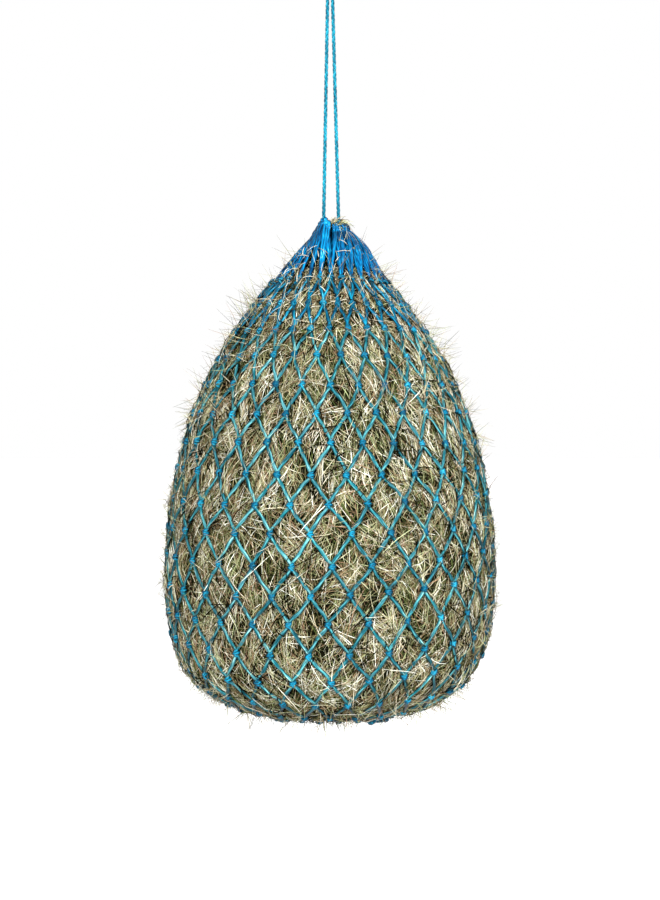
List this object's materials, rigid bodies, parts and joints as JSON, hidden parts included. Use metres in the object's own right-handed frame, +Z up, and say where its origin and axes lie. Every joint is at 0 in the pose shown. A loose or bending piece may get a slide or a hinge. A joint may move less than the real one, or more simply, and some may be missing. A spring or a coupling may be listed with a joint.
{
  "type": "hay net",
  "caption": "Knotted twine hay net filled with hay, gathered at the mouth by a draw cord and hung from a screw hook.",
  "frame": {"origin": "on the hook's shank axis, at the underside of the beam that the hook is screwed into", "axes": "+Z up along the shank, out of the beam's far side; the front of the net faces -Y; +X is to the right of the front"},
  "size_m": [0.4448, 0.4446, 1.146],
  "materials": {
    "net_twine": "satin",
    "draw_cord": "satin",
    "hay": "matte",
    "steel": "satin"
  },
  "bodies": {
    "hook": {"beam_hook": "steel"},
    "loop": {"hanging_loop": "draw_cord"},
    "knot": {"top_knot": "draw_cord"},
    "net": {"cord_strand_left": "draw_cord", "cord_strand_right": "draw_cord", "draw_cord": "draw_cord", "mouth_loops": "net_twine", "net_row_01": "net_twine", "net_row_02": "net_twine", "net_row_03": "net_twine", "net_row_04": "net_twine", "net_row_05": "net_twine", "net_row_06": "net_twine", "net_row_07": "net_twine", "net_row_08": "net_twine", "net_row_09": "net_twine", "net_row_10": "net_twine", "net_row_11": "net_twine", "net_row_12": "net_twine", "net_row_13": "net_twine", "net_row_14": "net_twine", "net_row_15": "net_twine", "net_row_16": "net_twine", "net_row_17": "net_twine", "net_row_18": "net_twine", "base_loops": "net_twine", "base_cord": "draw_cord", "hay_tuft": "hay", "hay_crown": "hay", "hay_wad_1": "hay", "hay_wad_2": "hay", "hay_wad_3": "hay", "hay_wad_4": "hay", "hay_wad_5": "hay", "hay_wad_6": "hay"}
  },
  "joints": [
    {"name": "loop_swing", "type": "hinge", "parent": "hook", "child": "loop", "pos_m": [0, 0, -0.052], "axis": [0, 1, 0], "range_deg": [-60, 60]},
    {"name": "knot_rock", "type": "hinge", "parent": "loop", "child": "knot", "pos_m": [0, 0, -0.092], "axis": [1, 0, 0], "range_deg": [-45, 45]},
    {"name": "net_spin", "type": "hinge", "parent": "knot", "child": "net", "pos_m": [0, 0, -0.1168], "axis": [0, 0, 1], "range_deg": [-180, 180]}
  ]
}
